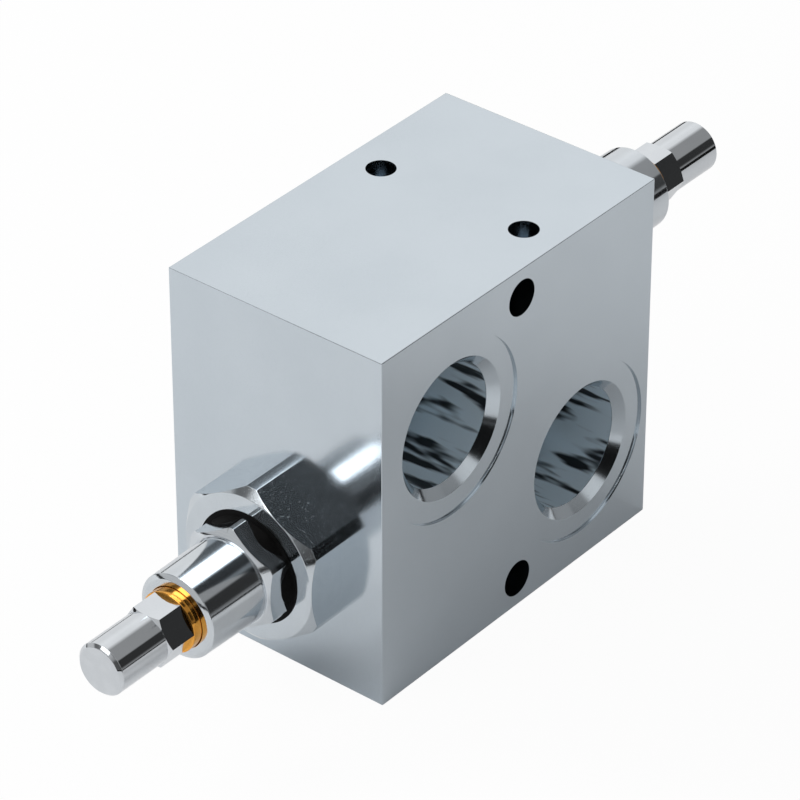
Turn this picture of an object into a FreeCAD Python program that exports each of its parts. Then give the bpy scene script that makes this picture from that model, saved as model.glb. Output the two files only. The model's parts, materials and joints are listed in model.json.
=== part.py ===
"""Dual cross relief valve: a ported block with two adjustable relief cartridges.

All sizes are millimetres.  The origin is the centre of the block.  +X runs along the
cartridge axes, -Y is the port face seen first, +Z is up.  The block and its two
cartridges look the same after half a turn about Y, so every cartridge piece is shaped
once in the left position and turned over for the right one.

Places along a cartridge are heights above the block face the cartridge screws into:
positive is out in the open, negative is inside the block.
"""
import FreeCAD, Part
import math
import os

from FreeCAD import Vector

# Valve block
BLOCK_X = 90.0
BLOCK_Y = 56.0
BLOCK_Z = 85.0
BLOCK_EDGE = 0.5

# The two oil lines, each a bore through the block along Y with a threaded port per face
LINE_X = 22.0
LINE_Z = 14.5
LINE_BORE_DIA = 19.0
PORT_THREAD_DIA = 26.44
PORT_THREAD_DEPTH = 19.0
PORT_MOUTH_DIA = 31.9
PORT_MOUTH_ANGLE = 45.0
PORT_LEAD_DIA = 27.8
PORT_LEAD_LENGTH = 2.0
SPOTFACE_DIA = 41.9
SPOTFACE_DEPTH = 0.5

# Fixing holes
THROUGH_HOLE_DIA = 8.4
THROUGH_HOLE_INSET = 7.0
TOP_HOLE_DIA = 6.6
TOP_HOLE_X = 12.0
TOP_HOLE_Y = 19.0
TOP_HOLE_DEPTH = 15.0
DRILL_POINT_ANGLE = 59.0

# Cross drillings from the bottom face and the plugs that close them
CROSS_DRILL_DIA = 10.0
PLUG_THREAD_DIA = 13.16
PLUG_LENGTH = 9.0
PLUG_RECESS = 0.6
PLUG_SOCKET_AF = 6.0
PLUG_SOCKET_DEPTH = 5.0
PLUG_EDGE = 0.6

# Cartridge cavity in the block
CAVITY_LEAD_DIA = 29.6
CAVITY_LEAD_DEPTH = 2.3
CAVITY_THREAD_DIA = 27.0
CAVITY_THREAD_END = -17.0
GALLERY_DIA = 24.6
GALLERY_END = -31.0
SEAT_BORE_DIA = 21.0
CAVITY_END = -44.0
NOSE_PASSAGE_DIA = 12.0

# Hexagon head of the cartridge body
HEX_AF = 34.0
HEX_TURNED_DIA = 37.8
HEX_HEIGHT = 9.3
HEX_CORNER_DROP = 1.6

# Inside and shank of the cartridge body
BODY_SEAL_GROOVE_DIA = 24.0
BODY_SEAL_GROOVE_END = -2.9
BODY_THREAD_END = -15.5
BODY_TAIL_DIA = 22.6
BODY_TAIL_END = -20.0
SPRING_CHAMBER_DIA = 15.0
SPRING_CHAMBER_TOP = 2.0
SLEEVE_SOCKET_DIA = 18.0
SLEEVE_SOCKET_TOP = -15.0

# Seat sleeve at the inner end of the cartridge
SLEEVE_FLANGE_END = -22.0
SLEEVE_WAIST_DIA = 18.0
SLEEVE_WAIST_END = -31.6
SLEEVE_NOSE_END = -43.2
SLEEVE_NOSE_EDGE = 1.2
SLEEVE_CHAMBER_DIA = 13.0
SEAT_DIA = 8.0
SEAT_FACE = -34.0
SIDE_HOLE_DIA = 5.4
SIDE_HOLE_HEIGHT = -28.0
SIDE_HOLE_COUNT = 4
NOSE_GROOVE_START = -35.6
NOSE_GROOVE_END = -39.4
NOSE_GROOVE_DIA = 17.4

# Poppet
POPPET_TIP = -36.4
POPPET_TIP_DIA = 3.2
POPPET_CONE_DIA = 10.4
POPPET_RIM_LENGTH = 0.8
POPPET_NECK_DIA = 6.0
POPPET_LAND_BOTTOM = -25.2
POPPET_LAND_TOP = -22.4
POPPET_LAND_FLATS = 11.4
POPPET_LAND_FLAT_COUNT = 4
POPPET_SPIGOT_TOP = -18.6

# Main spring
SPRING_WIRE_DIA = 2.2
SPRING_MEAN_DIA = 9.2
SPRING_TURNS = 4.5
SPRING_TOP = -6.6
SPRING_GRIND = 0.8
WIRE_SIDES = 6
SPIGOT_DIA = 6.2

# Spring guide
GUIDE_TOP = -0.6
GUIDE_GROOVE_TOP = -2.3
GUIDE_GROOVE_BOTTOM = -4.9
GUIDE_GROOVE_DIA = 11.4
GUIDE_SPIGOT_END = -9.6
GUIDE_EDGE = 0.4

# Adjusting screw
SCREW_THREAD_DIA = 14.0
SCREW_THREAD_END = 27.0
SCREW_JOURNAL_DIA = 10.4
SCREW_HEX_START = 34.0
SCREW_HEX_AF = 12.0
SCREW_HEX_END = 40.9
SCREW_STUB_DIA = 12.0
SCREW_END = 54.7
SCREW_END_FACE_DIA = 10.6
SCREW_END_EDGE_LENGTH = 0.7
SCREW_TIP_EDGE = 1.0
HEX_SHOULDER_DROP = 0.5

# Orange guide ring round the screw
GUIDE_RING_DIA = 14.0
GUIDE_RING_START = 27.6
GUIDE_RING_EDGE = 0.25

# Soft seals
NUT_SEAL_OUTER_DIA = 26.2
NUT_SEAL_LIP = 0.28
NUT_SEAL_INNER_DIA = 15.0
BACKUP_RING_THICKNESS = 1.3
SEAL_EASE = 0.29

# Fits, all radial or face clearances between neighbouring pieces
THREAD_FIT = 0.05
RUNNING_FIT = 0.05
SEAL_FIT = 0.02
NOSE_FIT = 0.04

# Lock nut with its long collar
NUT_START = HEX_HEIGHT + NUT_SEAL_LIP + SEAL_FIT
NUT_AF = 22.0
NUT_TURNED_DIA = 24.8
NUT_HEX_END = 15.5
NUT_CHAMFER_FACE_DIA = 20.7
NUT_CHAMFER_ANGLE = 30.0
NUT_THREAD_END = 17.5
NUT_RECESS_DIA = 24.0
NUT_RECESS_TOP_DIA = 22.0
NUT_RECESS_DEPTH = 2.2
COLLAR_DIA = 20.0
COLLAR_TIP_DIA = 19.5
COLLAR_EDGE_START = 31.1
COLLAR_END = 31.7
COLLAR_FACE_DIA = 17.2
COLLAR_BORE_DIA = 14.2
COLLAR_MOUTH_DIA = 14.9
COLLAR_MOUTH_DEPTH = 0.5

FULL_TURN = 360.0
HALF_TURN = 180.0
HEX_SIDES = 6

# Angle of a hexagon's first corner that puts one corner on top
CORNER_ON_TOP = HALF_TURN / HEX_SIDES

# How far a cutting tool runs past the face it opens
OVERSHOOT = 1.0

LEFT_FACE_X = -BLOCK_X / 2
AXIS_Z = -LINE_Z


def at_height(height, radius, angle=0.0):
    """Return the point at a height above the left face and a radius from the axis."""
    return Vector(
        LEFT_FACE_X - height,
        radius * math.cos(math.radians(angle)),
        AXIS_Z + radius * math.sin(math.radians(angle)),
    )


def turned(outline):
    """Return the solid made by turning (height, radius) points about the left axis."""
    points = [at_height(height, radius) for height, radius in outline]
    face = Part.Face(Part.makePolygon(points + points[:1]))
    return face.revolve(Vector(0, 0, AXIS_Z), Vector(1, 0, 0), FULL_TURN)


def rod(start, end, diameter):
    """Return a plain cylinder on the left axis between two heights."""
    return Part.makeCylinder(
        diameter / 2, abs(end - start), at_height(min(start, end), 0), Vector(-1, 0, 0)
    )


def hex_bar(start, end, across_flats, first_corner):
    """Return a hexagonal bar on the left axis with a corner at the given angle."""
    corner_radius = across_flats / 2 / math.cos(math.pi / HEX_SIDES)
    corners = [
        at_height(start, corner_radius, first_corner + index * FULL_TURN / HEX_SIDES)
        for index in range(HEX_SIDES)
    ]
    face = Part.Face(Part.makePolygon(corners + corners[:1]))
    return face.extrude(Vector(start - end, 0, 0))


def seal_ring(high, low, inner, outer):
    """Return a seal ring with eased section corners between two heights and radii."""
    ease = SEAL_EASE * min(high - low, outer - inner)
    return turned(
        [
            (high - ease, inner),
            (high, inner + ease),
            (high, outer - ease),
            (high - ease, outer),
            (low + ease, outer),
            (low, outer - ease),
            (low, inner + ease),
            (low + ease, inner),
        ]
    )


def turned_over(shape):
    """Return a copy of a left piece in the right cartridge's place."""
    copy = shape.copy()
    copy.rotate(Vector(0, 0, 0), Vector(0, 1, 0), HALF_TURN)
    return copy


def port_cutter():
    """Return what is cut for the left line's port in the face at -Y."""
    face_y = -BLOCK_Y / 2
    mouth_radius = PORT_MOUTH_DIA / 2
    thread_radius = PORT_THREAD_DIA / 2
    lead_radius = PORT_LEAD_DIA / 2
    bore_radius = LINE_BORE_DIA / 2
    cone_depth = (mouth_radius - lead_radius) * math.tan(math.radians(PORT_MOUTH_ANGLE))
    lead_start = face_y + SPOTFACE_DEPTH + cone_depth
    thread_end = face_y + SPOTFACE_DEPTH + PORT_THREAD_DEPTH
    drill_end = thread_end + (thread_radius - bore_radius) / math.tan(math.radians(DRILL_POINT_ANGLE))
    outline = [
        (0, face_y - OVERSHOOT),
        (SPOTFACE_DIA / 2, face_y - OVERSHOOT),
        (SPOTFACE_DIA / 2, face_y + SPOTFACE_DEPTH),
        (mouth_radius, face_y + SPOTFACE_DEPTH),
        (lead_radius, lead_start),
        (thread_radius, lead_start + PORT_LEAD_LENGTH),
        (thread_radius, thread_end),
        (bore_radius, drill_end),
        (bore_radius, 0),
        (0, 0),
    ]
    points = [Vector(-LINE_X + radius, y, LINE_Z) for radius, y in outline]
    face = Part.Face(Part.makePolygon(points + points[:1]))
    return face.revolve(Vector(-LINE_X, 0, LINE_Z), Vector(0, 1, 0), FULL_TURN)


def cavity_cutter():
    """Return what is cut for the left cartridge and for its way to the right line."""
    thread_radius = CAVITY_THREAD_DIA / 2
    gallery_radius = GALLERY_DIA / 2
    seat_radius = SEAT_BORE_DIA / 2
    passage_radius = NOSE_PASSAGE_DIA / 2
    passage_end = LEFT_FACE_X - LINE_X
    outline = [
        (OVERSHOOT, 0),
        (OVERSHOOT, CAVITY_LEAD_DIA / 2),
        (0, CAVITY_LEAD_DIA / 2),
        (-CAVITY_LEAD_DEPTH, thread_radius),
        (CAVITY_THREAD_END, thread_radius),
        (CAVITY_THREAD_END, gallery_radius),
        (GALLERY_END, gallery_radius),
        (GALLERY_END - (gallery_radius - seat_radius), seat_radius),
        (CAVITY_END, seat_radius),
        (CAVITY_END, passage_radius),
        (passage_end, passage_radius),
        (passage_end, 0),
    ]
    return turned(outline)


def blind_hole(x, y, z, down, diameter, depth):
    """Return a drilled hole with its conical point, going down or up from a place."""
    way = -1 if down else 1
    point_depth = diameter / 2 / math.tan(math.radians(DRILL_POINT_ANGLE))
    hole = Part.makeCylinder(diameter / 2, depth, Vector(x, y, z), Vector(0, 0, way))
    tip = Part.makeCone(
        diameter / 2, 0, point_depth, Vector(x, y, z + way * depth), Vector(0, 0, way)
    )
    return hole.fuse(tip)


def valve_block():
    """Return the block with its ports, cavities, drillings and fixing holes."""
    block = Part.makeBox(
        BLOCK_X, BLOCK_Y, BLOCK_Z, Vector(-BLOCK_X / 2, -BLOCK_Y / 2, -BLOCK_Z / 2)
    )
    block = block.makeChamfer(BLOCK_EDGE, block.Edges)
    port = port_cutter()
    back_port = port.copy()
    back_port.rotate(Vector(-LINE_X, 0, LINE_Z), Vector(0, 0, 1), HALF_TURN)
    cavity = cavity_cutter()
    cutters = [cavity, turned_over(cavity)]
    for left_port in (port, back_port):
        cutters += [left_port, turned_over(left_port)]
    for way in (-1, 1):
        cutters.append(
            Part.makeCylinder(
                THROUGH_HOLE_DIA / 2,
                BLOCK_Y + 2 * OVERSHOOT,
                Vector(0, -BLOCK_Y / 2 - OVERSHOOT, way * (BLOCK_Z / 2 - THROUGH_HOLE_INSET)),
                Vector(0, 1, 0),
            )
        )
        cutters.append(
            blind_hole(
                TOP_HOLE_X, way * TOP_HOLE_Y, BLOCK_Z / 2, True, TOP_HOLE_DIA, TOP_HOLE_DEPTH
            )
        )
        bottom = Vector(way * LINE_X, 0, -BLOCK_Z / 2)
        cutters.append(Part.makeCylinder(CROSS_DRILL_DIA / 2, BLOCK_Z / 2 + LINE_Z, bottom))
        cutters.append(
            Part.makeCylinder(PLUG_THREAD_DIA / 2 + THREAD_FIT, PLUG_LENGTH + PLUG_RECESS, bottom)
        )
    for cutter in cutters:
        block = block.cut(cutter)
    return block


def cross_drilling_plug(x):
    """Return the hexagon-socket plug that closes a cross drilling from below."""
    bottom = -BLOCK_Z / 2 + PLUG_RECESS
    radius = PLUG_THREAD_DIA / 2
    outline = [
        (0, bottom),
        (radius - PLUG_EDGE, bottom),
        (radius, bottom + PLUG_EDGE),
        (radius, bottom + PLUG_LENGTH - PLUG_EDGE),
        (radius - PLUG_EDGE, bottom + PLUG_LENGTH),
        (0, bottom + PLUG_LENGTH),
    ]
    points = [Vector(x + across, 0, z) for across, z in outline]
    face = Part.Face(Part.makePolygon(points + points[:1]))
    plug = face.revolve(Vector(x, 0, 0), Vector(0, 0, 1), FULL_TURN)
    corner_radius = PLUG_SOCKET_AF / 2 / math.cos(math.pi / HEX_SIDES)
    corners = []
    for index in range(HEX_SIDES):
        angle = math.radians(index * FULL_TURN / HEX_SIDES)
        corners.append(
            Vector(x + corner_radius * math.cos(angle), corner_radius * math.sin(angle), bottom)
        )
    socket = Part.Face(Part.makePolygon(corners + corners[:1]))
    return plug.cut(socket.extrude(Vector(0, 0, PLUG_SOCKET_DEPTH)))


def cartridge_body():
    """Return the hexagon-headed body that screws into the block."""
    turned_radius = HEX_TURNED_DIA / 2
    head = hex_bar(0, HEX_HEIGHT, HEX_AF, CORNER_ON_TOP)
    head = head.common(
        turned(
            [
                (0, 0),
                (0, turned_radius),
                (HEX_HEIGHT - HEX_CORNER_DROP, turned_radius),
                (HEX_HEIGHT, HEX_AF / 2),
                (HEX_HEIGHT, 0),
            ]
        )
    )
    shank = turned(
        [
            (0, 0),
            (0, BODY_SEAL_GROOVE_DIA / 2),
            (BODY_SEAL_GROOVE_END, BODY_SEAL_GROOVE_DIA / 2),
            (BODY_SEAL_GROOVE_END, CAVITY_THREAD_DIA / 2 - THREAD_FIT),
            (BODY_THREAD_END, CAVITY_THREAD_DIA / 2 - THREAD_FIT),
            (BODY_THREAD_END, BODY_TAIL_DIA / 2),
            (BODY_TAIL_END, BODY_TAIL_DIA / 2),
            (BODY_TAIL_END, 0),
        ]
    )
    body = head.fuse(shank)
    body = body.cut(rod(HEX_HEIGHT + OVERSHOOT, SPRING_CHAMBER_TOP - OVERSHOOT, SCREW_THREAD_DIA))
    body = body.cut(rod(SPRING_CHAMBER_TOP, SLEEVE_SOCKET_TOP - OVERSHOOT, SPRING_CHAMBER_DIA))
    return body.cut(rod(SLEEVE_SOCKET_TOP, BODY_TAIL_END - OVERSHOOT, SLEEVE_SOCKET_DIA))


def seat_sleeve():
    """Return the nose sleeve with the poppet seat, side holes and seal groove."""
    nose_radius = SEAT_BORE_DIA / 2 - NOSE_FIT
    sleeve = turned(
        [
            (SLEEVE_SOCKET_TOP, SLEEVE_CHAMBER_DIA / 2),
            (SLEEVE_SOCKET_TOP, SLEEVE_SOCKET_DIA / 2),
            (BODY_TAIL_END, SLEEVE_SOCKET_DIA / 2),
            (BODY_TAIL_END, BODY_TAIL_DIA / 2),
            (SLEEVE_FLANGE_END, BODY_TAIL_DIA / 2),
            (SLEEVE_FLANGE_END, SLEEVE_WAIST_DIA / 2),
            (SLEEVE_WAIST_END, SLEEVE_WAIST_DIA / 2),
            (SLEEVE_WAIST_END - (nose_radius - SLEEVE_WAIST_DIA / 2), nose_radius),
            (NOSE_GROOVE_START, nose_radius),
            (NOSE_GROOVE_START, NOSE_GROOVE_DIA / 2),
            (NOSE_GROOVE_END, NOSE_GROOVE_DIA / 2),
            (NOSE_GROOVE_END, nose_radius),
            (SLEEVE_NOSE_END + SLEEVE_NOSE_EDGE, nose_radius),
            (SLEEVE_NOSE_END, nose_radius - SLEEVE_NOSE_EDGE),
            (SLEEVE_NOSE_END, SEAT_DIA / 2),
            (SEAT_FACE, SEAT_DIA / 2),
            (SEAT_FACE, SLEEVE_CHAMBER_DIA / 2),
        ]
    )
    for index in range(SIDE_HOLE_COUNT):
        angle = index * FULL_TURN / SIDE_HOLE_COUNT
        start = at_height(SIDE_HOLE_HEIGHT, 0)
        way = at_height(SIDE_HOLE_HEIGHT, 1, angle) - start
        sleeve = sleeve.cut(
            Part.makeCylinder(SIDE_HOLE_DIA / 2, SLEEVE_WAIST_DIA, start, way)
        )
    return sleeve


def poppet():
    """Return the conical poppet with its guide land and spring spigot."""
    seat_radius = SEAT_DIA / 2
    tip_radius = POPPET_TIP_DIA / 2
    slope = (SEAT_FACE - POPPET_TIP) / (seat_radius - RUNNING_FIT - tip_radius)
    cone_radius = POPPET_CONE_DIA / 2
    rim_start = POPPET_TIP + slope * (cone_radius - tip_radius)
    rim_end = rim_start + POPPET_RIM_LENGTH
    land_radius = SLEEVE_CHAMBER_DIA / 2 - RUNNING_FIT
    shape = turned(
        [
            (POPPET_TIP, 0),
            (POPPET_TIP, tip_radius),
            (rim_start, cone_radius),
            (rim_end, cone_radius),
            (rim_end, POPPET_NECK_DIA / 2),
            (POPPET_LAND_BOTTOM, POPPET_NECK_DIA / 2),
            (POPPET_LAND_BOTTOM, land_radius),
            (POPPET_LAND_TOP, land_radius),
            (POPPET_LAND_TOP, SPIGOT_DIA / 2),
            (POPPET_SPIGOT_TOP, SPIGOT_DIA / 2),
            (POPPET_SPIGOT_TOP, 0),
        ]
    )
    land_length = POPPET_LAND_TOP - POPPET_LAND_BOTTOM
    side = POPPET_LAND_FLATS / 2
    slab = Part.makeBox(
        land_length,
        SLEEVE_CHAMBER_DIA,
        SLEEVE_CHAMBER_DIA,
        Vector(
            LEFT_FACE_X - POPPET_LAND_TOP,
            side,
            AXIS_Z - SLEEVE_CHAMBER_DIA / 2,
        ),
    )
    for index in range(POPPET_LAND_FLAT_COUNT):
        flat = slab.copy()
        flat.rotate(
            Vector(0, 0, AXIS_Z), Vector(1, 0, 0), index * FULL_TURN / POPPET_LAND_FLAT_COUNT
        )
        shape = shape.cut(flat)
    return shape


def main_spring():
    """Return the coil spring between the poppet land and the spring guide."""
    bottom = POPPET_LAND_TOP
    length = SPRING_TOP - bottom
    wire_radius = SPRING_WIRE_DIA / 2
    coil_length = length + 2 * SPRING_GRIND - SPRING_WIRE_DIA
    helix = Part.makeHelix(coil_length / SPRING_TURNS, coil_length, SPRING_MEAN_DIA / 2)
    corners = []
    for index in range(WIRE_SIDES):
        angle = math.radians((index + 0.5) * FULL_TURN / WIRE_SIDES)
        across = SPRING_MEAN_DIA / 2 + wire_radius * math.cos(angle)
        corners.append(Vector(across, 0, wire_radius * math.sin(angle)))
    section = Part.makePolygon(corners + corners[:1])
    wire = Part.Wire(helix).makePipeShell([section], True, True)
    wire.translate(Vector(0, 0, wire_radius - SPRING_GRIND))
    room = Part.makeCylinder(SPRING_MEAN_DIA, length)
    spring = wire.common(room)
    spring.rotate(Vector(0, 0, 0), Vector(0, 1, 0), -FULL_TURN / 4)
    spring.translate(at_height(bottom, 0))
    return spring


def spring_guide():
    """Return the guide that carries the screw's push to the spring."""
    radius = SPRING_CHAMBER_DIA / 2 - RUNNING_FIT
    return turned(
        [
            (GUIDE_TOP, 0),
            (GUIDE_TOP, radius - GUIDE_EDGE),
            (GUIDE_TOP - GUIDE_EDGE, radius),
            (GUIDE_GROOVE_TOP, radius),
            (GUIDE_GROOVE_TOP, GUIDE_GROOVE_DIA / 2),
            (GUIDE_GROOVE_BOTTOM, GUIDE_GROOVE_DIA / 2),
            (GUIDE_GROOVE_BOTTOM, radius),
            (SPRING_TOP, radius),
            (SPRING_TOP, SPIGOT_DIA / 2),
            (GUIDE_SPIGOT_END, SPIGOT_DIA / 2),
            (GUIDE_SPIGOT_END, 0),
        ]
    )


def adjusting_screw():
    """Return the screw with its thread, ring journal, hexagon neck and round stub."""
    thread_radius = SCREW_THREAD_DIA / 2 - THREAD_FIT
    screw = turned(
        [
            (GUIDE_TOP, 0),
            (GUIDE_TOP, thread_radius - SCREW_TIP_EDGE),
            (GUIDE_TOP + SCREW_TIP_EDGE, thread_radius),
            (SCREW_THREAD_END, thread_radius),
            (SCREW_THREAD_END, SCREW_JOURNAL_DIA / 2),
            (SCREW_HEX_START, SCREW_JOURNAL_DIA / 2),
            (SCREW_HEX_START, 0),
        ]
    )
    neck_corner_radius = SCREW_HEX_AF / 2 / math.cos(math.pi / HEX_SIDES)
    neck = hex_bar(SCREW_HEX_START, SCREW_HEX_END, SCREW_HEX_AF, 0)
    neck = neck.common(
        turned(
            [
                (SCREW_HEX_START, 0),
                (SCREW_HEX_START, neck_corner_radius),
                (SCREW_HEX_END - HEX_SHOULDER_DROP, neck_corner_radius),
                (SCREW_HEX_END, SCREW_HEX_AF / 2),
                (SCREW_HEX_END, 0),
            ]
        )
    )
    stub = turned(
        [
            (SCREW_HEX_END, 0),
            (SCREW_HEX_END, SCREW_STUB_DIA / 2),
            (SCREW_END - SCREW_END_EDGE_LENGTH, SCREW_STUB_DIA / 2),
            (SCREW_END, SCREW_END_FACE_DIA / 2),
            (SCREW_END, 0),
        ]
    )
    return screw.fuse(neck).fuse(stub)


def screw_guide_ring():
    """Return the soft ring that steadies the screw in the collar's bore."""
    inner = SCREW_JOURNAL_DIA / 2 + SEAL_FIT
    outer = GUIDE_RING_DIA / 2
    end = SCREW_HEX_START - SEAL_FIT
    return turned(
        [
            (GUIDE_RING_START, inner),
            (GUIDE_RING_START, outer - GUIDE_RING_EDGE),
            (GUIDE_RING_START + GUIDE_RING_EDGE, outer),
            (end - GUIDE_RING_EDGE, outer),
            (end, outer - GUIDE_RING_EDGE),
            (end, inner),
        ]
    )


def lock_nut():
    """Return the lock nut with the long collar turned on its outer end."""
    turned_radius = NUT_TURNED_DIA / 2
    face_radius = NUT_CHAMFER_FACE_DIA / 2
    corner_drop = (turned_radius - face_radius) * math.tan(math.radians(NUT_CHAMFER_ANGLE))
    head = hex_bar(NUT_START, NUT_HEX_END, NUT_AF, CORNER_ON_TOP)
    head = head.common(
        turned(
            [
                (NUT_START, 0),
                (NUT_START, turned_radius),
                (NUT_HEX_END - corner_drop, turned_radius),
                (NUT_HEX_END, face_radius),
                (NUT_HEX_END, 0),
            ]
        )
    )
    collar = turned(
        [
            (NUT_START + NUT_RECESS_DEPTH, 0),
            (NUT_START + NUT_RECESS_DEPTH, COLLAR_DIA / 2),
            (NUT_HEX_END, COLLAR_DIA / 2),
            (COLLAR_EDGE_START, COLLAR_TIP_DIA / 2),
            (COLLAR_END, COLLAR_FACE_DIA / 2),
            (COLLAR_END, 0),
        ]
    )
    bore = turned(
        [
            (NUT_START - OVERSHOOT, 0),
            (NUT_START - OVERSHOOT, SCREW_THREAD_DIA / 2),
            (NUT_THREAD_END, SCREW_THREAD_DIA / 2),
            (NUT_THREAD_END, COLLAR_BORE_DIA / 2),
            (COLLAR_END - COLLAR_MOUTH_DEPTH, COLLAR_BORE_DIA / 2),
            (COLLAR_END, COLLAR_MOUTH_DIA / 2),
            (COLLAR_END + OVERSHOOT, COLLAR_MOUTH_DIA / 2),
            (COLLAR_END + OVERSHOOT, 0),
        ]
    )
    recess = turned(
        [
            (NUT_START, 0),
            (NUT_START, NUT_RECESS_DIA / 2),
            (NUT_START + NUT_RECESS_DEPTH, NUT_RECESS_TOP_DIA / 2),
            (NUT_START + NUT_RECESS_DEPTH, 0),
        ]
    )
    return head.fuse(collar).cut(bore).cut(recess)


def lock_nut_seal():
    """Return the black seal that fills the recess under the lock nut."""
    inner = NUT_SEAL_INNER_DIA / 2
    lip_top = HEX_HEIGHT + NUT_SEAL_LIP
    seal_top = NUT_START + NUT_RECESS_DEPTH - SEAL_FIT
    return turned(
        [
            (HEX_HEIGHT, inner),
            (HEX_HEIGHT, NUT_SEAL_OUTER_DIA / 2),
            (lip_top, NUT_SEAL_OUTER_DIA / 2),
            (lip_top, NUT_RECESS_DIA / 2 - SEAL_FIT),
            (seal_top, NUT_RECESS_TOP_DIA / 2 - SEAL_FIT),
            (seal_top, inner),
        ]
    )


def body_seal():
    """Return the ring squeezed under the hexagon head, in the cavity's lead."""
    inner = BODY_SEAL_GROOVE_DIA / 2 + SEAL_FIT
    lead_radius = CAVITY_LEAD_DIA / 2 - SEAL_FIT
    slope = (CAVITY_LEAD_DIA - CAVITY_THREAD_DIA) / 2 / CAVITY_LEAD_DEPTH
    deep = BODY_SEAL_GROOVE_END + SEAL_FIT
    thread_radius = CAVITY_THREAD_DIA / 2 - SEAL_FIT
    return turned(
        [
            (-SEAL_FIT, inner),
            (-SEAL_FIT, lead_radius - SEAL_FIT * slope),
            (-CAVITY_LEAD_DEPTH, thread_radius),
            (deep, thread_radius),
            (deep, inner),
        ]
    )


def nose_seal():
    """Return the ring that seals the nose sleeve in the seat bore."""
    inner = NOSE_GROOVE_DIA / 2 + SEAL_FIT
    outer = SEAT_BORE_DIA / 2 - SEAL_FIT
    high = NOSE_GROOVE_START - BACKUP_RING_THICKNESS - 2 * SEAL_FIT
    return seal_ring(high, NOSE_GROOVE_END + SEAL_FIT, inner, outer)


def nose_backup_ring():
    """Return the flat ring that backs the nose seal against oil pressure."""
    inner = NOSE_GROOVE_DIA / 2 + SEAL_FIT
    outer = SEAT_BORE_DIA / 2 - SEAL_FIT
    high = NOSE_GROOVE_START - SEAL_FIT
    low = high - BACKUP_RING_THICKNESS
    return turned([(high, inner), (high, outer), (low, outer), (low, inner)])


def guide_seal():
    """Return the ring that seals the spring guide in the body."""
    inner = GUIDE_GROOVE_DIA / 2 + SEAL_FIT
    outer = SPRING_CHAMBER_DIA / 2 - SEAL_FIT
    return seal_ring(GUIDE_GROOVE_TOP - SEAL_FIT, GUIDE_GROOVE_BOTTOM + SEAL_FIT, inner, outer)


CARTRIDGE_PIECES = {
    "cartridge_body": cartridge_body,
    "seat_sleeve": seat_sleeve,
    "poppet": poppet,
    "main_spring": main_spring,
    "spring_guide": spring_guide,
    "adjusting_screw": adjusting_screw,
    "screw_guide_ring": screw_guide_ring,
    "lock_nut": lock_nut,
    "lock_nut_seal": lock_nut_seal,
    "body_seal": body_seal,
    "nose_seal": nose_seal,
    "nose_backup_ring": nose_backup_ring,
    "guide_seal": guide_seal,
}


def main():
    """Shape every piece and write each one to its own file."""
    os.makedirs("parts", exist_ok=True)
    pieces = {
        "valve_block": valve_block(),
        "left_cross_drilling_plug": cross_drilling_plug(-LINE_X),
        "right_cross_drilling_plug": cross_drilling_plug(LINE_X),
    }
    for name, shape_piece in CARTRIDGE_PIECES.items():
        left = shape_piece()
        pieces["left_" + name] = left
        pieces["right_" + name] = turned_over(left)
    for name, shape in pieces.items():
        shape.exportStep("parts/" + name + ".step")


main()
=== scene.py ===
"""Looks of a dual cross relief valve: a ported zinc-plated block with two relief cartridges.

Meshes are in metres in the part's own frame. Sizes and the outlines of turned pieces are
given in millimetres, an outline as (height, radius) corners. The heights of a cartridge's
pieces are measured outwards from the block face that it screws into.
"""

import json
import logging
import math
from dataclasses import dataclass
from enum import Enum
from typing import Any, Callable, Iterable, Sequence

import bmesh
import bpy
from mathutils import Matrix, Vector

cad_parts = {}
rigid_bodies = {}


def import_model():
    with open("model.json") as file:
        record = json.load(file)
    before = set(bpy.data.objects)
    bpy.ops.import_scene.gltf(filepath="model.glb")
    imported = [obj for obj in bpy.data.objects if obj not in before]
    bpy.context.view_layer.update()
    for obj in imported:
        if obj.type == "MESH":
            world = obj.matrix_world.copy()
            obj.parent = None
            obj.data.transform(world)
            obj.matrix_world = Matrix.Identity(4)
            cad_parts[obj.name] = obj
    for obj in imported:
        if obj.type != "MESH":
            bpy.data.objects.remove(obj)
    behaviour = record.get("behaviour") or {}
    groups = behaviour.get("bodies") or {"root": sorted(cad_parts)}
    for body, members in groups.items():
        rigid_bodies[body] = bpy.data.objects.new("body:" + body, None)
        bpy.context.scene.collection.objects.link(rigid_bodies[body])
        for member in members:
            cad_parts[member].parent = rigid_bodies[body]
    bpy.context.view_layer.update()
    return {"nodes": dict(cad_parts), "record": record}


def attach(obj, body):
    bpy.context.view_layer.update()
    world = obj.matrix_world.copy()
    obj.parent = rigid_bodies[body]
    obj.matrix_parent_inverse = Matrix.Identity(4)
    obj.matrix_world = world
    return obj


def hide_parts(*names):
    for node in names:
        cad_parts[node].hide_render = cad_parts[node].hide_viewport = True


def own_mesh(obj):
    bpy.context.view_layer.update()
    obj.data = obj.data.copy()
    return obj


LOG = logging.getLogger("scene")

MM = 0.001
Colour = tuple[float, float, float]
Outline = Sequence[tuple[float, float]]

# How far the two ported lines run from the block's middle, across and up, in millimetres
LINE_PLACE = (22.0, 14.5)
# How far a cutter reaches past the face it cuts, in millimetres
CUT_PAST = 1.0
HEXAGON = 6
# Steps round the axis of the large turned shapes, the middling ones, a shank and small holes
MANY_STEPS = 192
SOME_STEPS = 160
SHANK_STEPS = 128
FEW_STEPS = 96
# Lays the Z axis of a turned cutter along Y
ALONG_Y = Matrix.Rotation(-math.pi / 2, 4, "X")


class Side(Enum):
    """The two cartridges."""

    LEFT = "left"
    RIGHT = "right"


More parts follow.
